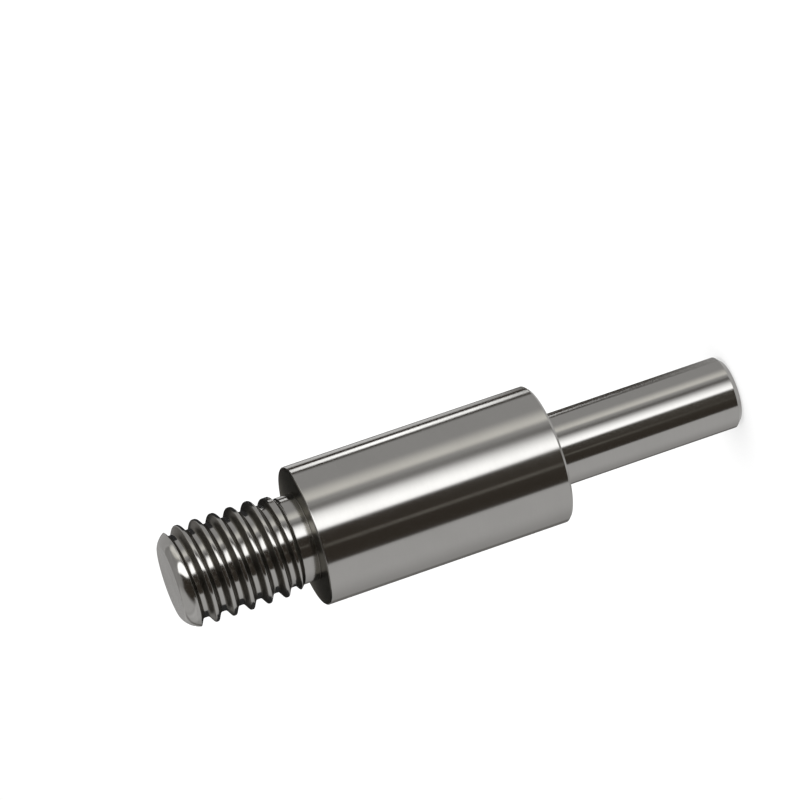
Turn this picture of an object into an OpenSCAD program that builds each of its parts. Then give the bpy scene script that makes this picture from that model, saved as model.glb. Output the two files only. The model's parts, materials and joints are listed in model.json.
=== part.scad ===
// Threaded shaft, turned from one bar: a plain pin, a ground body and a screwed end.
// It stands on the free end of its pin, with the threaded end up. Millimetres.

/* [Body] */
// Diameter of the ground body
body_d = 11; // [9:0.05:16]
// Length of the body between its two shoulders
body_l = 19.9; // [8:0.1:60]
// Edge break at the shoulder that faces the thread
thread_side_break = 0.1; // [0.05:0.05:0.5]
// Edge break at the shoulder that faces the pin
pin_side_break = 0.2; // [0.05:0.05:0.5]

/* [Pin] */
// Diameter of the plain pin
pin_d = 5.75; // [4:0.05:8]
// Length of the pin beyond its shoulder
pin_l = 15.5; // [5:0.1:40]
// Chamfer on the free end of the pin
pin_chamfer = 0.45; // [0.1:0.05:0.8]

/* [Thread] */
// Diameter over the crests, for a 5/16 inch thread of 18 turns to the inch
crest_d = 7.9; // [7.6:0.02:8.2]
// Distance along the axis from one crest to the next
pitch = 1.411; // [1:0.001:1.8]
// Diameter at the bottom of the groove
root_d = 6.72; // [6.3:0.02:6.9]
// Width of the flat left on each crest
crest_flat = 0.26; // [0.1:0.01:0.35]
// How softly the flanks run over into the crest
crest_blend = 0.1; // [0.02:0.02:0.3]
// How softly the flanks run out into the bottom of the groove
root_blend = 0.14; // [0.02:0.02:0.4]
// Angle between the two flanks of a groove
flank_angle = 60; // [50:1:65]
// Turn of the thread about the axis
thread_turn = 149; // [0:1:359]
// Length from the shoulder to the free end of the thread, with the neck
stud_l = 10.8; // [6:0.1:25]
// Diameter of the flat left on the free end
end_face_d = 5.9; // [5.6:0.1:7]
// Radius that rounds the free end off into the crests
end_round = 1.8; // [1:0.05:2]
// Length at the free end that the groove doesn't cut into
end_plain_l = 0.9; // [0:0.05:1.2]

/* [Neck and last turn] */
// Diameter of the plain neck between the shoulder and the thread
neck_d = 6.9; // [6.6:0.05:7.2]
// Width of the neck
neck_w = 1.25; // [0.6:0.05:2]
// Diameter that the last turn is skimmed down to
last_turn_d = 7.52; // [7.3:0.02:7.8]
// Length of thread that is skimmed
last_turn_w = 1.05; // [0.8:0.05:1.4]
// Slope at both ends of the skimmed turn, from the axis
last_turn_slope = 45; // [30:5:60]

/* [Hidden] */
$fn = 96;

pin_r = pin_d / 2;
body_r = body_d / 2;
crest_r = crest_d / 2;
root_r = root_d / 2;
neck_r = neck_d / 2;
last_turn_r = last_turn_d / 2;
end_face_r = end_face_d / 2;

// The two shoulders, above the free end of the pin
pin_shoulder_z = pin_l;
thread_shoulder_z = pin_l + body_l;

// The threaded length is one closed skin on a grid of rows and columns. The rows run
// along the helix, so the crests, flanks and roots keep their edges.
columns = 48;
flank_rise = tan(flank_angle / 2);
flank_w = (crest_r - root_r) * flank_rise;
root_flat = max(pitch - crest_flat - 2 * flank_w, 0);
crest_side = crest_flat / 2;
root_side = (pitch - root_flat) / 2;
third_w = (root_side - crest_side) / 3;
row_offsets = [
    -root_side, -root_side + third_w, -crest_side - third_w, -crest_side, 0,
    crest_side, crest_side + third_w, root_side - third_w, root_side, pitch / 2
];
rows_a_turn = len(row_offsets);

// The skin starts inside the neck and ends at the flat on the free end
skin_low = neck_w / 2;
skin_high = stud_l;
first_turn = floor((skin_low - pitch) / pitch) - 2;
last_turn = ceil(skin_high / pitch) + 1;
rows = (last_turn - first_turn) * rows_a_turn;
// Step that the neck leaves outside the end of the thread
neck_step = 0.04;
// Rows closer than this to either end are joined to it
least_row = pitch / columns / 3;

// Height of the crest above the shoulder, in the given column
function crest_height(column) = pitch * (column / columns + thread_turn / 360);

// Height of a row above the shoulder, in the given column
function row_height(column, row) =
    crest_height(column)
    + pitch * (first_turn + floor(row / rows_a_turn))
    + row_offsets[row % rows_a_turn];

// Distance along the axis from the nearest crest
function from_crest(column, height) =
    let(turns = (height - crest_height(column)) / pitch)
    abs(turns - round(turns)) * pitch;

// Greater and lesser of two values, run over into each other within a width
function soft_max(a, b, width) =
    max(a, b) + pow(max(width - abs(a - b), 0) / width, 3) * width / 6;
function soft_min(a, b, width) = -soft_max(-a, -b, width);

// Radius of the groove's bottom, which runs out before the free end
function groove_radius(height) =
    min(crest_r, root_r + max(height - stud_l + end_plain_l, 0) / flank_rise);

// Radius of the thread
function thread_radius(column, height) =
    let(flank = crest_r - (from_crest(column, height) - crest_side) / flank_rise)
    min(
        soft_max(groove_radius(height), soft_min(crest_r, flank, crest_blend), root_blend),
        crest_r
    );

// Radius of the rounded free end
round_height = sqrt(max(pow(end_round, 2) - pow(end_round - crest_r + end_face_r, 2), 0));
function end_radius(height) =
    let(up = min(max(height - (stud_l - round_height), 0), end_round))
    crest_r - end_round + sqrt(pow(end_round, 2) - pow(up, 2));

// Radius that the last turn is skimmed to, with a slope at both of its ends
function skim_radius(height) =
    height > neck_w + last_turn_w
        ? last_turn_r + (height - neck_w - last_turn_w) * tan(last_turn_slope)
        : min(last_turn_r, neck_r - neck_step + max(height - neck_w, 0) * tan(last_turn_slope));

// Radius of the finished surface
function skin_radius(column, height) =
    min(thread_radius(column, height), end_radius(height), skim_radius(height));

function skin_point(column, height) =
    let(r = skin_radius(column, height), a = 360 * column / columns)
    [r * cos(a), r * sin(a), height];

// Places of the points in the list: low ring, high ring, rows, two centres
function is_low(column, row) = row_height(column, row) < skin_low + least_row;
function is_high(column, row) = row_height(column, row) > skin_high - least_row;
function wrapped_place(column, row) =
    is_low(column, row) ? column
    : is_high(column, row) ? columns + column
    : 2 * columns + column * rows + row;
// The column after the last is the first one, a turn further up
function place(column, row) =
    column < columns ? wrapped_place(column, row) : wrapped_place(0, row + rows_a_turn);

module thread_skin() {
    low_ring = [for (c = [0 : columns - 1]) skin_point(c, skin_low)];
    high_ring = [for (c = [0 : columns - 1]) skin_point(c, skin_high)];
    grid = [
        for (c = [0 : columns - 1])
            for (r = [0 : rows - 1])
                skin_point(c, min(max(row_height(c, r), skin_low), skin_high))
    ];
    low_centre = 2 * columns + columns * rows;
    high_centre = low_centre + 1;
    points = concat(low_ring, high_ring, grid, [[0, 0, skin_low], [0, 0, skin_high]]);
    sides = [
        for (c = [0 : columns - 1])
            for (r = [0 : rows - 1 - rows_a_turn])
                let(
                    a = place(c, r),
                    b = place(c + 1, r),
                    d = place(c, r + 1),
                    e = place(c + 1, r + 1)
                )
                for (side = [[a, d, e], [a, e, b]])
                    if (side[0] != side[1] && side[1] != side[2] && side[2] != side[0])
                        side
    ];
    low_end = [for (c = [0 : columns - 1]) [low_centre, c, (c + 1) % columns]];
    high_end = [
        for (c = [0 : columns - 1])
            [high_centre, columns + (c + 1) % columns, columns + c]
    ];
    polyhedron(points, concat(sides, low_end, high_end), convexity = 10);
}

// Half section of the pin, the body and the neck, from the axis outwards
module turned_blank() {
    rotate_extrude()
        polygon([
            [0, 0],
            [pin_r - pin_chamfer, 0],
            [pin_r, pin_chamfer],
            [pin_r, pin_shoulder_z],
            [body_r - pin_side_break, pin_shoulder_z],
            [body_r, pin_shoulder_z + pin_side_break],
            [body_r, thread_shoulder_z - thread_side_break],
            [body_r - thread_side_break, thread_shoulder_z],
            [neck_r, thread_shoulder_z],
            [neck_r, thread_shoulder_z + neck_w],
            [0, thread_shoulder_z + neck_w]
        ]);
}

module shaft() {
    color([0.74, 0.73, 0.71]) {
        turned_blank();
        translate([0, 0, thread_shoulder_z])
            thread_skin();
    }
}

shaft();
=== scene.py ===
"""Looks of the threaded shaft: its turned and threaded skin, its steel, a white floor and the studio."""

import json
import math

import bpy
from mathutils import Matrix, Vector


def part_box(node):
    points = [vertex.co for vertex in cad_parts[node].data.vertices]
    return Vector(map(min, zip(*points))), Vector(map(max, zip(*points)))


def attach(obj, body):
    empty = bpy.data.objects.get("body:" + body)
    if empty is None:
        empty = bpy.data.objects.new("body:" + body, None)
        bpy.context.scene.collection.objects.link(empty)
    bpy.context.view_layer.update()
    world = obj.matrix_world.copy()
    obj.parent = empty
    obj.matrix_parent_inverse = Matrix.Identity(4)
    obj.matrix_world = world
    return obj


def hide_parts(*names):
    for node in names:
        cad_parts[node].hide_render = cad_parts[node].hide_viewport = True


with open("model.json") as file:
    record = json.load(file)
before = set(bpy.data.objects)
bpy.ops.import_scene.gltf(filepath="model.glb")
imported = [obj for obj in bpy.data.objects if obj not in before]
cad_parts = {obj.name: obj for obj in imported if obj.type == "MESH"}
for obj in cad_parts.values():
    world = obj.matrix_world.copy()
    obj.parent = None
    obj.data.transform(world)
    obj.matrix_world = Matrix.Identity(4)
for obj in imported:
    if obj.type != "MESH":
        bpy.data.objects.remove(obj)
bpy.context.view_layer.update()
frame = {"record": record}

MM = 0.001

# Sizes that the frame gives
low_corner, high_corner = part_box("shaft")
mounts = {mount["name"]: mount for mount in frame["record"]["mounts"]}
BODY_R = (high_corner.x - low_corner.x) / 2
PIN_R = mounts["pin"]["dims"]["r_mm"] * MM
PIN_SHOULDER = mounts["pin_shoulder"]["pos_m"][2]
THREAD_SHOULDER = mounts["thread_shoulder"]["pos_m"][2]
STUD_L = high_corner.z - THREAD_SHOULDER

# Pin, body and neck
PIN_CHAMFER = 0.45 * MM
PIN_SIDE_BREAK = 0.2 * MM
THREAD_SIDE_BREAK = 0.1 * MM
NECK_R = 3.45 * MM
NECK_W = 1.25 * MM
# Small rounding left on every turned edge, and the steps of its arc
EDGE_ROUND = 0.05 * MM
EDGE_STEPS = 4
# Distance from an edge at which the flat or round beside it starts
HOLD = 0.02 * MM

# Thread
CREST_R = 3.95 * MM
ROOT_R = 3.36 * MM
PITCH = 1.411 * MM
CREST_FLAT = 0.26 * MM
CREST_BLEND = 0.18 * MM
ROOT_BLEND = 0.24 * MM
FLANK_ANGLE = math.radians(60)
THREAD_TURN = math.radians(149)
END_FACE_R = 2.95 * MM
END_ROUND = 1.8 * MM
# Length at the free end that the groove doesn't cut into
END_PLAIN_L = 0.9 * MM
LAST_TURN_R = 3.76 * MM
LAST_TURN_W = 1.05 * MM
LAST_TURN_SLOPE = math.radians(45)
# Points round the axis and rows of them to each turn of the thread
COLUMNS = 192
ROWS_A_TURN = 28
# Turns of rows below the shoulder, so that every column starts inside the neck
SPARE_TURNS = 2

# Flat of the free end: its rings of points, and the outermost one and the step to the next as shares of its
# radius
FACE_RINGS = 4
FACE_RIM = 0.995
FACE_STEP = 0.35
# A face that points along the axis by more than this is a flat
FLAT_FACE_NORMAL = 0.9
# Share of the plain length at the free end that has the ground finish
GROUND_SHARE = 0.9
# The shoulder's steel with painted shade goes on over its edges by this much
SHOULDER_EDGE = 0.07 * MM
WELD = 0.001 * MM

# Camera, by the point that it looks at
CAMERA_AIM = Vector((7.467, -2.171, 25.457)) * MM
CAMERA_DISTANCE = 300 * MM
CAMERA_ELEVATION = math.radians(12.438)
# Direction in which the shaft's axis is drawn, from the picture's right
AXIS_IN_PICTURE = math.radians(-161.37)
LENS = 178.37


# Formulas written as nodes

class Field:
    """The output of a node, used like a number in a formula."""

    def __init__(self, tree, socket):
        self.tree = tree
        self.socket = socket

    def __add__(self, other):
        return math_node(self.tree, "ADD", self, other)

    def __radd__(self, other):
        return math_node(self.tree, "ADD", other, self)

    def __sub__(self, other):
        return math_node(self.tree, "SUBTRACT", self, other)

    def __rsub__(self, other):
        return math_node(self.tree, "SUBTRACT", other, self)

    def __mul__(self, other):
        return math_node(self.tree, "MULTIPLY", self, other)

    def __rmul__(self, other):
        return math_node(self.tree, "MULTIPLY", other, self)

    def __truediv__(self, other):
        return math_node(self.tree, "DIVIDE", self, other)

    def __rtruediv__(self, other):
        return math_node(self.tree, "DIVIDE", other, self)


def put(tree, socket, value):
    """Gives a socket a link or a value of its own."""
    if isinstance(value, Field):
        tree.links.new(value.socket, socket)
    elif isinstance(value, bpy.types.NodeSocket):
        tree.links.new(value, socket)
    elif value is not None:
        socket.default_value = value


def add_node(tree, kind, inputs=(), **settings):
    """A new node, with its settings and its first inputs, or the inputs that a dict names."""
    node = tree.nodes.new(kind)
    for name, value in settings.items():
        setattr(node, name, value)
    pairs = inputs.items() if isinstance(inputs, dict) else enumerate(inputs)
    for key, value in pairs:
        put(tree, node.inputs[key], value)
    return node


def math_node(tree, operation, *values):
    return Field(tree, add_node(tree, "ShaderNodeMath", values, operation=operation).outputs[0])


def lowest(a, b, round_off=0.0):
    """The lower of two fields, with the corner where they meet rounded off."""
    return math_node(a.tree, "SMOOTH_MIN", a, b, round_off)


def highest(a, b, round_off=0.0):
    return math_node(a.tree, "SMOOTH_MAX", a, b, round_off)


def choose(test, if_true, if_false):
    """if_true where test is 1, if_false where it is 0."""
    return if_false + test * (if_true - if_false)


def soft_step(tree, value, softness):
    """0 below zero, 1 above, with a soft edge."""
    step = add_node(tree, "ShaderNodeMapRange", {
        "Value": value / softness, "From Min": -0.5, "From Max": 0.5,
    }, interpolation_type="SMOOTHSTEP")
    return Field(tree, step.outputs[0])


def split_xyz(tree, vector):
    """The three parts of a vector as fields."""
    return [Field(tree, socket) for socket in add_node(tree, "ShaderNodeSeparateXYZ", [vector]).outputs]


def new_sockets(tree, in_out, names, kind="NodeSocketFloat"):
    for name in names:
        tree.interface.new_socket(name, in_out=in_out, socket_type=kind)


def named_inputs(tree):
    """The inputs of a group as fields, by their names."""
    group_in = tree.nodes.new("NodeGroupInput")
    return {socket.name: Field(tree, socket) for socket in group_in.outputs if socket.name}


def put_out(tree, *results):
    """Links the results to the outputs of a group."""
    group_out = tree.nodes.new("NodeGroupOutput")
    for socket, result in zip(group_out.inputs, results):
        put(tree, socket, result)


# Shape of the shaft

def rounded_corner(before, corner, after):
    """Points of the small arc on an edge of the section, with a held point on either side."""
    to_before = (before - corner).normalized()
    to_after = (after - corner).normalized()
    half_angle = to_before.angle(to_after) / 2
    start = corner + to_before * EDGE_ROUND / math.tan(half_angle)
    end = corner + to_after * EDGE_ROUND / math.tan(half_angle)
    centre = corner + (to_before + to_after).normalized() * EDGE_ROUND / math.sin(half_angle)
    sweep = (end - centre).angle_signed(start - centre)
    arc = [
        centre + Matrix.Rotation(sweep * step / EDGE_STEPS, 2) @ (start - centre)
        for step in range(EDGE_STEPS + 1)
    ]
    return [start + to_before * HOLD, *arc, end + to_after * HOLD]


def half_section():
    """Pin, body and neck as points of radius and height, from the middle of the pin's end upwards."""
    corners = [
        Vector((0, 0)),
        Vector((PIN_R - PIN_CHAMFER, 0)),
        Vector((PIN_R, PIN_CHAMFER)),
        Vector((PIN_R, PIN_SHOULDER)),
        Vector((BODY_R - PIN_SIDE_BREAK, PIN_SHOULDER)),
        Vector((BODY_R, PIN_SHOULDER + PIN_SIDE_BREAK)),
        Vector((BODY_R, THREAD_SHOULDER - THREAD_SIDE_BREAK)),
        Vector((BODY_R - THREAD_SIDE_BREAK, THREAD_SHOULDER)),
        Vector((NECK_R, THREAD_SHOULDER)),
        Vector((NECK_R, THREAD_SHOULDER + NECK_W / 2)),
    ]
    points = [corners[0]]
    for before, corner, after in zip(corners, corners[1:], corners[2:]):
        points += rounded_corner(before, corner, after)
    return points + [corners[-1]]


def section_object():
    """The half section as a line, radius along X and height along Z."""
    points = half_section()
    mesh = bpy.data.meshes.new("shaft")
    links = [(i, i + 1) for i in range(len(points) - 1)]
    mesh.from_pydata([(point.x, 0, point.y) for point in points], links, [])
    piece = bpy.data.objects.new("shaft_of_steel", mesh)
    bpy.context.scene.collection.objects.link(piece)
    return piece


def shaft_tree():
    """Spins the half section round the axis and carries it on as the thread, in one closed skin."""
    tree = bpy.data.node_groups.new("turned and threaded shaft", "GeometryNodeTree")
    new_sockets(tree, "INPUT", ["Half section"], "NodeSocketGeometry")
    new_sockets(tree, "INPUT", ["Columns", "Rows a turn", "Turns of rows"], "NodeSocketInt")
    new_sockets(tree, "INPUT", [
        "Shoulder height", "Stud length", "Pitch", "Thread turn", "Crest radius", "Root radius",
        "Crest flat", "Flank rise", "Crest rounding", "Root rounding", "Neck radius", "Neck width",
        "Last turn radius", "Last turn width", "Last turn rise", "End face radius", "End round",
        "Plain end length",
    ])
    new_sockets(tree, "INPUT", [
        "Ground steel", "Turned steel", "Faced steel", "Cut steel",
    ], "NodeSocketMaterial")
    new_sockets(tree, "OUTPUT", ["Shaft"], "NodeSocketGeometry")
    sizes = named_inputs(tree)

    columns = sizes["Columns"]
    pitch = sizes["Pitch"]
    section = sizes["Half section"]
    section_rows = Field(tree, add_node(tree, "GeometryNodeAttributeDomainSize", [section]).outputs[0])
    thread_rows = sizes["Rows a turn"] * sizes["Turns of rows"] + 1
    grid = add_node(tree, "GeometryNodeMeshGrid", {
        "Vertices X": section_rows + thread_rows + FACE_RINGS,
        "Vertices Y": columns + 1,
    })

    # Row and column of each point of the grid
    index = Field(tree, add_node(tree, "GeometryNodeInputIndex").outputs[0])
    row = math_node(tree, "FLOOR", (index + 0.5) / (columns + 1))
    column = index - row * (columns + 1)
    turn = column / columns

    # Turned part: the section's own points
    section_point = add_node(tree, "GeometryNodeSampleIndex", {
        "Geometry": section,
        "Value": add_node(tree, "GeometryNodeInputPosition").outputs[0],
        "Index": lowest(row, section_rows - 1),
    }, data_type="FLOAT_VECTOR", domain="POINT")
    section_r, _, section_h = split_xyz(tree, section_point.outputs[0])

    # Thread: rows along the helix, held between the neck and the free end
    crest_h = pitch * (turn + sizes["Thread turn"] / math.tau)
    row_h = crest_h + pitch * ((row - section_rows) / sizes["Rows a turn"] - SPARE_TURNS)
    height = lowest(highest(row_h, sizes["Neck width"] / 2), sizes["Stud length"])
    from_crest = pitch * math_node(tree, "PINGPONG", (height - crest_h) / pitch, 0.5)
    crest_r = sizes["Crest radius"]
    flank_r = crest_r - (from_crest - sizes["Crest flat"] / 2) / sizes["Flank rise"]
    below_end = height - sizes["Stud length"] + sizes["Plain end length"]
    groove_r = lowest(sizes["Root radius"] + highest(below_end, 0) / sizes["Flank rise"], crest_r)
    thread_r = lowest(crest_r, flank_r, sizes["Crest rounding"])
    thread_r = lowest(highest(groove_r, thread_r, sizes["Root rounding"]), crest_r)

    # Last turn, skimmed down and sloped into the neck
    past_neck = height - sizes["Neck width"]
    rise = sizes["Last turn rise"]
    into_neck = sizes["Neck radius"] + highest(past_neck, 0) * rise
    out_of_turn = sizes["Last turn radius"] + highest(past_neck - sizes["Last turn width"], 0) * rise
    edge = sizes["Crest rounding"] / 2
    skinned_r = lowest(thread_r, lowest(into_neck, out_of_turn, edge), edge)
    neck_r = sizes["Neck radius"] - highest(past_neck, 0) * rise
    skinned_r = highest(skinned_r, neck_r)

    # Rounded free end
    end_round = sizes["End round"]
    inset = end_round - crest_r + sizes["End face radius"]
    round_h = math_node(tree, "SQRT", end_round * end_round - inset * inset)
    up = highest(height - sizes["Stud length"] + round_h, 0)
    end_r = crest_r - end_round + math_node(tree, "SQRT", end_round * end_round - up * up)
    skinned_r = lowest(skinned_r, end_r)

    # Flat of the free end, from its rim to its middle
    face_row = row - section_rows - thread_rows
    face_r = sizes["End face radius"] * highest(FACE_RIM - face_row * FACE_STEP, 0)

    in_section = math_node(tree, "LESS_THAN", row, section_rows - 0.5)
    in_face = math_node(tree, "GREATER_THAN", face_row, -0.5)
    radius = choose(in_section, section_r, choose(in_face, face_r, skinned_r))
    above = sizes["Shoulder height"] + choose(in_face, sizes["Stud length"], height)
    above = choose(in_section, section_h, above)
    angle = turn * math.tau
    place = add_node(tree, "ShaderNodeCombineXYZ", [
        radius * math_node(tree, "COSINE", angle), radius * math_node(tree, "SINE", angle), above,
    ])
    shaped = add_node(tree, "GeometryNodeSetPosition", {
        "Geometry": grid.outputs["Mesh"], "Position": place.outputs[0],
    })

    # Finish of each face, by its row and by the way it faces; the thread's shoulder gets steel with painted
    # shade
    _, _, position_z = split_xyz(tree, add_node(tree, "GeometryNodeInputPosition").outputs[0])
    on_thread = math_node(tree, "GREATER_THAN", position_z, sizes["Shoulder height"] + sizes["Neck width"])
    _, _, normal_z = split_xyz(tree, add_node(tree, "GeometryNodeInputNormal").outputs[0])
    is_flat = math_node(tree, "GREATER_THAN", math_node(tree, "ABSOLUTE", normal_z), FLAT_FACE_NORMAL)
    ground_end = sizes["Shoulder height"] + sizes["Stud length"] - sizes["Plain end length"] * GROUND_SHARE
    on_end = math_node(tree, "GREATER_THAN", position_z, ground_end)
    is_shoulder = math_node(tree, "COMPARE", position_z, sizes["Shoulder height"], SHOULDER_EDGE)
    finished = shaped.outputs[0]
    for finish, where in (
        ("Ground steel", None),
        ("Cut steel", on_thread),
        ("Ground steel", on_end),
        ("Turned steel", is_flat),
        # painted shade on the thread's shoulder
        ("Faced steel", is_shoulder),
    ):
        finished = add_node(tree, "GeometryNodeSetMaterial", {
            "Geometry": finished, "Selection": where, "Material": sizes[finish],
        }).outputs[0]

    # One closed skin, facing outwards
    welded = add_node(tree, "GeometryNodeMergeByDistance", {
        "Geometry": finished, "Distance": WELD,
    })
    outward = add_node(tree, "GeometryNodeFlipFaces", [welded.outputs[0]])
    smooth = add_node(tree, "GeometryNodeSetShadeSmooth", [outward.outputs[0]])
    put_out(tree, add_node(tree, "GeometryNodeRealizeInstances", [smooth.outputs[0]]).outputs[0])
    return tree


def build_shaft(ground, turned, shaded_shoulder, cut):
    """The shaft's skin, made by the tree and turned into a plain mesh."""
    piece = section_object()
    tree = shaft_tree()
    first_crest = PITCH * THREAD_TURN / math.tau
    values = {
        "Columns": COLUMNS,
        "Rows a turn": ROWS_A_TURN,
        "Turns of rows": math.ceil((STUD_L - first_crest) / PITCH) + SPARE_TURNS,
        "Shoulder height": THREAD_SHOULDER,
        "Stud length": STUD_L,
        "Pitch": PITCH,
        "Thread turn": THREAD_TURN,
        "Crest radius": CREST_R,
        "Root radius": ROOT_R,
        "Crest flat": CREST_FLAT,
        "Flank rise": math.tan(FLANK_ANGLE / 2),
        "Crest rounding": CREST_BLEND,
        "Root rounding": ROOT_BLEND,
        "Neck radius": NECK_R,
        "Neck width": NECK_W,
        "Last turn radius": LAST_TURN_R,
        "Last turn width": LAST_TURN_W,
        "Last turn rise": math.tan(LAST_TURN_SLOPE),
        "End face radius": END_FACE_R,
        "End round": END_ROUND,
        "Plain end length": END_PLAIN_L,
        "Ground steel": ground,
        "Turned steel": turned,
        "Faced steel": shaded_shoulder,
        "Cut steel": cut,
    }
    modifier = piece.modifiers.new("turned and threaded shaft", "NODES")
    modifier.node_group = tree
    for item in tree.interface.items_tree:
        if item.in_out == "INPUT" and item.name in values:
            modifier[item.identifier] = values[item.name]
    made = bpy.data.meshes.new_from_object(piece.evaluated_get(bpy.context.evaluated_depsgraph_get()))
    piece.modifiers.remove(modifier)
    piece.data = made
    made.name = "shaft_of_steel"
    return piece


# Materials

def new_material(name):
    material = bpy.data.materials.new(name)
    material.use_nodes = True
    tree = material.node_tree
    tree.nodes.clear()
    output = tree.nodes.new("ShaderNodeOutputMaterial")
    return material, tree, output


def marks_group():
    """Marks that tools leave round the axis: their height, their grain, and soft smudges."""
    tree = bpy.data.node_groups.new("marks round the axis", "ShaderNodeTree")
    new_sockets(tree, "INPUT", ["Width", "Length", "Smudge size"])
    new_sockets(tree, "OUTPUT", ["Height", "Grain", "Smudge"])
    sizes = named_inputs(tree)
    place = add_node(tree, "ShaderNodeTexCoord").outputs["Object"]
    x, y, z = split_xyz(tree, place)
    # Rounds differ by their height, flats by their radius
    across = (z + math_node(tree, "SQRT", x * x + y * y)) / sizes["Width"]
    length = sizes["Length"]
    marks = add_node(tree, "ShaderNodeTexNoise", {
        "Vector": add_node(tree, "ShaderNodeCombineXYZ", [x / length, y / length, across]).outputs[0],
        "Scale": 1.0, "Detail": 2.0, "Roughness": 0.55,
    })
    grain = add_node(tree, "ShaderNodeTexNoise", {
        "Vector": add_node(tree, "ShaderNodeCombineXYZ", [x / length, y / length, across * 2.3]).outputs[0],
        "Scale": 1.0, "Detail": 3.0, "Roughness": 0.7,
    })
    smudge = add_node(tree, "ShaderNodeTexNoise", {"Vector": place, "Detail": 3.0, "Roughness": 0.6})
    put(tree, smudge.inputs["Scale"], 1.0 / sizes["Smudge size"])
    soft_smudge = add_node(tree, "ShaderNodeMapRange", {
        "Value": smudge.outputs[0], "From Min": 0.4, "From Max": 0.68,
    }, interpolation_type="SMOOTHSTEP")
    put_out(tree, marks.outputs[0], grain.outputs[0], soft_smudge.outputs[0])
    return tree


SMUDGE_SIZE = 4 * MM
STEEL = (0.66, 0.655, 0.64, 1)
# Brightness of worn steel, how far the grain and the smudges bring it out, and what they have to pass first
WORN = 0.9
GRAIN_WEAR = 0.7
SMUDGE_WEAR = 0.25
UNWORN = 0.1
# Change of roughness by the grain, as a share, and by the smudges
GRAIN_SPREAD = 0.5
SMUDGE_ROUGHNESS = 0.02
# Painted shade: the thread's shoulder gets dark steel for the shade that it shows
SHADED_SHOULDER_STEEL = (0.26, 0.25, 0.23, 1)
# Painted shade as well: seen at a low angle, the shoulder's steel is darkened further
SHADED_SHOULDER_AT_LOW_ANGLE = (0.55, 0.54, 0.5, 1)
# The flanks keep a rougher cut, and their dark colour is painted shade, for the shade in the groove
SHADED_FLANK_STEEL = (0.2, 0.19, 0.17, 1)
FLANK_ROUGHNESS = 0.32
FLANK_SPREAD = 0.1
# Tilt along the axis at which a flank's painted shade and rougher cut start and are full, what is added to
# both near the crests, and the height over which that fades in
FLANK_START, FLANK_FULL = 0.04, 0.42
NEAR_CREST_START, NEAR_CREST_FULL = 0.3, 0.42
NEAR_CREST_FADE = 0.2 * MM


def flank_shade_and_roughness_mask(tree):
    """1 on the flanks of the thread, 0 on its crests and in the bottom of the groove; it lays the painted
    shade and the rougher cut on the flanks.
    """
    _, _, normal_z = split_xyz(tree, add_node(tree, "ShaderNodeNewGeometry").outputs["Normal"])
    x, y, _ = split_xyz(tree, add_node(tree, "ShaderNodeTexCoord").outputs["Object"])
    radius = math_node(tree, "SQRT", x * x + y * y)
    near_crest = soft_step(tree, radius - (CREST_R + ROOT_R) / 2, NEAR_CREST_FADE)
    mask = add_node(tree, "ShaderNodeMapRange", {
        "Value": math_node(tree, "ABSOLUTE", normal_z),
        "From Min": FLANK_START + near_crest * NEAR_CREST_START,
        "From Max": FLANK_FULL + near_crest * NEAR_CREST_FULL,
    }, interpolation_type="SMOOTHSTEP")
    return Field(tree, mask.outputs[0])


def mix_colours(tree, factor, first, second):
    """The second colour over the first, by the factor."""
    mix = add_node(tree, "ShaderNodeMix", data_type="RGBA")
    put(tree, mix.inputs["Factor"], factor)
    colours = [socket for socket in mix.inputs if socket.type == "RGBA"]
    put(tree, colours[0], first)
    put(tree, colours[1], second)
    return [socket for socket in mix.outputs if socket.type == "RGBA"][0]


def steel(name, group, roughness, width, length, height, stretch,
          bright=STEEL, at_low_angle=(1, 1, 1, 1), has_flanks=False):
    """Bright steel with marks round the axis, of this width, length and height; where has_flanks is set,
    painted shade on the thread's flanks.
    """
    material, tree, output = new_material(name)
    marks = add_node(tree, "ShaderNodeGroup", {
        "Width": width, "Length": length, "Smudge size": SMUDGE_SIZE,
    }, node_tree=group)
    height_of, grain, smudge = (Field(tree, socket) for socket in marks.outputs)
    bump = add_node(tree, "ShaderNodeBump", {"Strength": 1.0, "Distance": height, "Height": height_of})
    worn = [share * WORN for share in bright[:3]] + [1]
    colour = mix_colours(tree, grain * GRAIN_WEAR + smudge * SMUDGE_WEAR - UNWORN, bright, worn)
    rough = roughness + (grain - 0.5) * roughness * GRAIN_SPREAD + smudge * SMUDGE_ROUGHNESS
    if has_flanks:
        # Painted shade on the thread's flanks: dark steel where the groove is in shade, with a rougher cut
        flank = flank_shade_and_roughness_mask(tree)
        colour = mix_colours(tree, flank, colour, SHADED_FLANK_STEEL)
        rough = choose(flank, FLANK_ROUGHNESS + (grain - 0.5) * FLANK_SPREAD, rough)
    shader = add_node(tree, "ShaderNodeBsdfPrincipled", {
        "Base Color": colour,
        "Specular Tint": at_low_angle,
        "Metallic": 1.0,
        "Roughness": rough,
        "Anisotropic": stretch,
        "Anisotropic Rotation": 0.25,
        "Normal": bump.outputs[0],
        "Tangent": add_node(tree, "ShaderNodeTangent", direction_type="RADIAL", axis="Z").outputs[0],
    })
    tree.links.new(shader.outputs[0], output.inputs[0])
    return material


# Studio

NO_LIGHT = (0, 0, 0)
NEUTRAL = (1, 1, 1, 1)
WARM = (1, 0.97, 0.87, 1)
DEEP_WARM = (1, 0.83, 0.66, 1)
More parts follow.
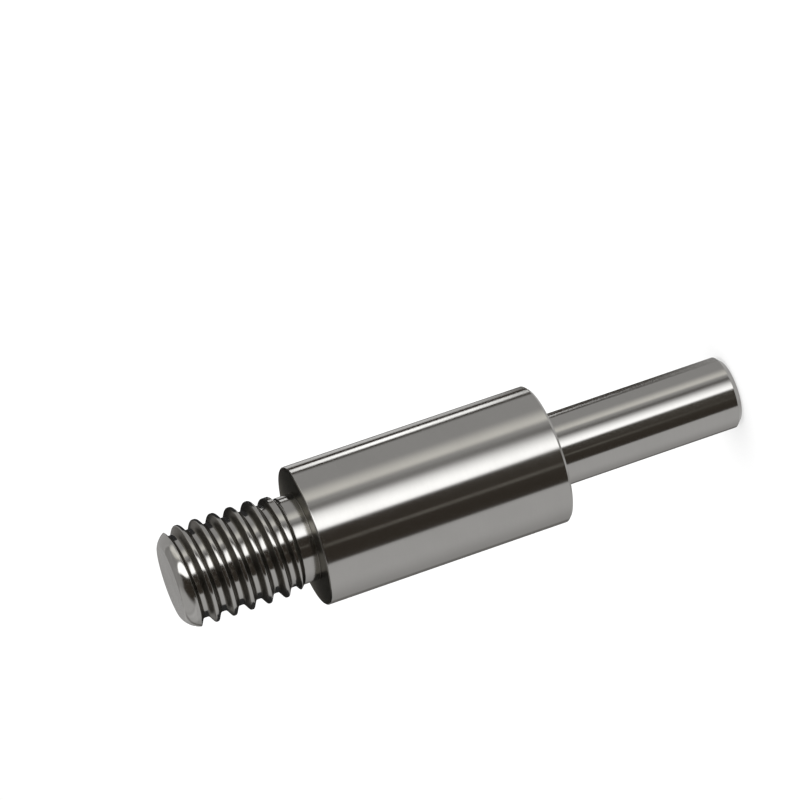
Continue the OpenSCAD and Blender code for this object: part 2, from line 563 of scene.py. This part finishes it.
# Cards, lamps and walls, in degrees. Azimuth from the camera towards +X: from, its softness, to, its
# softness; elevation: low, high, softness of both; then strength and tint
CARDS = {
    "strip lamp": (3, 9, 32.5, 16, -10, 40, 1.2, 1.6, NEUTRAL),
    "lower part of lamp": (2.5, 5, 29.3, 35, -14.4, -10, 1.2, 1.55, NEUTRAL),
    "foot of lamp": (3.7, 7, 23.5, 33, -66, -14.4, 1.2, 1.55, NEUTRAL),
    "floor by the lamp": (-22, 50, 2, 4, -66, -14.4, 1.2, 0.045, WARM),
    "grey cloth": (42, 14, 118, 7, -66, 48, 6, 0.3, NEUTRAL),
    "warm cloth": (53, 8, 69, 24, -66, 48, 6, 0.4, WARM),
    "upper grey cloth": (46, 24, 122, 12, 48, 78, 12, 0.22, NEUTRAL),
    "slit in flag": (-26, 3, -21, 3, -15, -10.2, 1, 0.12, WARM),
    "table": (-148, 8, -54.3, 4, -66, 34, 10, 0.27, NEUTRAL),
    "lit part of table": (-120, 60, -54.3, 4, -66, 34, 10, 0.155, NEUTRAL),
    "raised side of table": (-165, 12, -110, 40, 14, 34, 10, 0.11, NEUTRAL),
    "upper part of table": (-157, 8, -76, 24, 34, 76, 16, 0.4, NEUTRAL),
    "far end of table": (-180, 4, -148, 8, -24, 0, 6, 0.12, NEUTRAL),
    "far lamp": (125.5, 4, 136, 3, -13.9, -10.5, 0.8, 1.9, NEUTRAL),
    "far side of room": (147, 4, 166, 4, -13.9, 0, 0.8, 0.55, NEUTRAL),
    "side of floor": (118, 4, 180, 4, -24, -16.7, 1, 0.42, NEUTRAL),
    "floor behind": (118, 6, 212, 8, -66, -24, 6, 0.42, NEUTRAL),
    "back cloth": (118, 6, 206, 8, 0, 40, 6, 0.34, NEUTRAL),
    "upper back cloth": (120, 12, 203, 12, 40, 78, 12, 0.24, NEUTRAL),
    "floor under the shaft": (-180, 0.1, 180, 0.1, -100, -66, 6, 0.42, NEUTRAL),
    "ceiling": (-180, 0.1, 180, 0.1, 77, 103, 14, 0.24, NEUTRAL),
    "dark room": (-180, 0.1, 180, 0.1, -95, 95, 1, 0.038, DEEP_WARM),
}
# Azimuth and elevation of the middle, half width, half height, degrees that it leans towards +X for each
# degree of height, softness of the edge, strength and tint
OVALS = {
    "round lamp": (31, 57, 27, 20.5, 0.9, 0.45, 1.6, NEUTRAL),
    "lit spot of wall": (88, 45, 25, 11, -0.6, 1.2, 0.45, WARM),
}


def light_group(name, places):
    """A group that turns azimuth, elevation and a place in the studio into light, and its inputs."""
    tree = bpy.data.node_groups.new(name, "ShaderNodeTree")
    new_sockets(tree, "INPUT", ["Azimuth", "Elevation", *places, "Strength"])
    new_sockets(tree, "INPUT", ["Tint"], "NodeSocketColor")
    new_sockets(tree, "OUTPUT", ["Light"], "NodeSocketColor")
    return tree, named_inputs(tree)


def put_out_light(tree, sizes, mask):
    """Puts the tinted light out where the mask is 1."""
    tinted = add_node(tree, "ShaderNodeVectorMath", [sizes["Tint"]], operation="SCALE")
    put(tree, tinted.inputs["Scale"], mask * sizes["Strength"])
    put_out(tree, tinted.outputs[0])


def card_group():
    """A card or lamp of the studio as the shaft sees it, by azimuth and elevation in degrees."""
    tree, sizes = light_group("studio card", [
        "From", "Softness there", "To", "Softness at its end", "Low", "High", "Softness of both",
    ])
    middle = (sizes["From"] + sizes["To"]) * 0.5
    half = (sizes["To"] - sizes["From"]) * 0.5
    off = math_node(tree, "WRAP", sizes["Azimuth"] - middle, 180.0, -180.0)
    mask = soft_step(tree, off + half, sizes["Softness there"])
    mask = mask * soft_step(tree, half - off, sizes["Softness at its end"])
    mask = mask * soft_step(tree, sizes["Elevation"] - sizes["Low"], sizes["Softness of both"])
    mask = mask * soft_step(tree, sizes["High"] - sizes["Elevation"], sizes["Softness of both"])
    put_out_light(tree, sizes, mask)
    return tree


def oval_group():
    """A round lamp or spot of light of the studio, by its middle."""
    tree, sizes = light_group("studio oval", [
        "Middle azimuth", "Middle elevation", "Half width", "Half height", "Lean", "Softness",
    ])
    above = sizes["Elevation"] - sizes["Middle elevation"]
    middle = sizes["Middle azimuth"] + above * sizes["Lean"]
    beside = math_node(tree, "WRAP", sizes["Azimuth"] - middle, 180.0, -180.0) / sizes["Half width"]
    above = above / sizes["Half height"]
    put_out_light(tree, sizes, soft_step(tree, 1.0 - beside * beside - above * above, sizes["Softness"]))
    return tree


def build_world():
    world = bpy.data.worlds.new("studio")
    bpy.context.scene.world = world
    world.use_nodes = True
    world.cycles.sampling_method = "NONE"
    tree = world.node_tree
    tree.nodes.clear()
    coordinates = add_node(tree, "ShaderNodeTexCoord")
    x, y, z = split_xyz(tree, coordinates.outputs["Generated"])
    azimuth = math_node(tree, "ARCTAN2", x, 0.0 - y) * math.degrees(1)
    elevation = math_node(tree, "ARCSINE", z) * math.degrees(1)
    light = NO_LIGHT
    for group, places in ((card_group(), CARDS), (oval_group(), OVALS)):
        for name, values in places.items():
            inputs = (azimuth, elevation, *values)
            card = add_node(tree, "ShaderNodeGroup", inputs, node_tree=group, name=name)
            light = add_node(tree, "ShaderNodeVectorMath", [light, card.outputs[0]]).outputs[0]
    path = add_node(tree, "ShaderNodeLightPath")
    seen = mix_colours(tree, path.outputs["Is Glossy Ray"], NEUTRAL, light)
    background = add_node(tree, "ShaderNodeBackground", {"Color": seen, "Strength": 1.0})
    output = tree.nodes.new("ShaderNodeOutputWorld")
    tree.links.new(background.outputs[0], output.inputs[0])


# Floor: half its side, its colour, and the share of plain white that the camera sees in it
FLOOR_HALF = 3
FLOOR_COLOUR = (0.9, 0.9, 0.9, 1)
FLOOR_WHITE = 0.6


def new_sheet(name, corners, material):
    """A flat sheet of the studio with four corners."""
    mesh = bpy.data.meshes.new(name)
    mesh.from_pydata(corners, [], [(0, 1, 2, 3)])
    mesh.materials.append(material)
    sheet = bpy.data.objects.new(name, mesh)
    bpy.context.scene.collection.objects.link(sheet)
    return sheet


def build_floor():
    material, tree, output = new_material("white floor")
    lit = add_node(tree, "ShaderNodeBsdfDiffuse", {"Color": FLOOR_COLOUR})
    bright = add_node(tree, "ShaderNodeEmission", {"Color": NEUTRAL, "Strength": 1.0})
    path = add_node(tree, "ShaderNodeLightPath")
    share = Field(tree, path.outputs["Is Camera Ray"]) * FLOOR_WHITE
    mixed = add_node(tree, "ShaderNodeMixShader", [share, lit.outputs[0], bright.outputs[0]])
    tree.links.new(mixed.outputs[0], output.inputs[0])
    floor = new_sheet("floor", [
        (-FLOOR_HALF, -FLOOR_HALF, 0), (FLOOR_HALF, -FLOOR_HALF, 0),
        (FLOOR_HALF, FLOOR_HALF, 0), (-FLOOR_HALF, FLOOR_HALF, 0),
    ], material)
    floor.visible_glossy = False


# Dark flag close to the thread: its sides, how far back it stands, how far its edges stay inside the
# thread's length, and its light
FLAG_SIDES = (-16 * MM, 16 * MM)
FLAG_BACK = 5 * MM
FLAG_ABOVE_SHOULDER = 0.6 * MM
FLAG_BELOW_END = 1.5 * MM
FLAG_STRENGTH = 0.03


def build_flag():
    """A dark flag behind the thread, which is seen only in its steel."""
    material, tree, output = new_material("dark flag")
    glow = add_node(tree, "ShaderNodeEmission", {"Color": NEUTRAL, "Strength": FLAG_STRENGTH})
    tree.links.new(glow.outputs[0], output.inputs[0])
    left, right = FLAG_SIDES
    low = THREAD_SHOULDER + FLAG_ABOVE_SHOULDER
    high = THREAD_SHOULDER + STUD_L - FLAG_BELOW_END
    flag = new_sheet("dark flag", [
        (left, FLAG_BACK, low), (right, FLAG_BACK, low),
        (right, FLAG_BACK, high), (left, FLAG_BACK, high),
    ], material)
    for kind in ("camera", "diffuse", "transmission", "volume_scatter", "shadow"):
        setattr(flag, "visible_" + kind, False)


LAMP_PLACE = Vector((0.1, -0.1, 0.8))
LAMP_SIZE = 0.6
LAMP_POWER = 4


def build_lamp():
    lamp = bpy.data.lights.new("ceiling lamp", "AREA")
    lamp.shape = "DISK"
    lamp.size = LAMP_SIZE
    lamp.energy = LAMP_POWER
    holder = bpy.data.objects.new("ceiling lamp", lamp)
    holder.location = LAMP_PLACE
    holder.rotation_euler = (-LAMP_PLACE).to_track_quat("-Z", "Y").to_euler()
    holder.visible_glossy = False
    bpy.context.scene.collection.objects.link(holder)


def build_camera():
    back = Vector((0, -math.cos(CAMERA_ELEVATION), math.sin(CAMERA_ELEVATION)))
    roll = math.pi / 2 - AXIS_IN_PICTURE
    turned = back.to_track_quat("Z", "Y").to_matrix() @ Matrix.Rotation(roll, 3, "Z")
    data = bpy.data.cameras.new("camera")
    data.lens = LENS
    camera = bpy.data.objects.new("camera", data)
    camera.matrix_world = Matrix.Translation(CAMERA_AIM + back * CAMERA_DISTANCE) @ turned.to_4x4()
    bpy.context.scene.collection.objects.link(camera)
    bpy.context.scene.camera = camera


bpy.context.scene.view_settings.view_transform = "Standard"
build_camera()
build_world()
build_floor()
build_flag()
build_lamp()
marks = marks_group()
shaft = build_shaft(
    ground=steel("ground steel", marks, roughness=0.13,
                 width=0.12 * MM, length=2.5 * MM, height=0.0004 * MM, stretch=0.4),
    turned=steel("turned steel", marks, roughness=0.25,
                 width=0.08 * MM, length=6 * MM, height=0.001 * MM, stretch=0.4),
    # Painted shade: dark steel on the thread's shoulder, darker still at a low angle
    shaded_shoulder=steel("faced steel", marks, roughness=0.3,
                width=0.06 * MM, length=4 * MM, height=0.001 * MM, stretch=0.3,
                bright=SHADED_SHOULDER_STEEL, at_low_angle=SHADED_SHOULDER_AT_LOW_ANGLE),
    # Painted shade on the flanks of the thread
    cut=steel("cut steel", marks, roughness=0.12,
              width=0.06 * MM, length=2.5 * MM, height=0.0004 * MM, stretch=0.2, has_flanks=True),
)
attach(shaft, "root")
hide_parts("shaft")
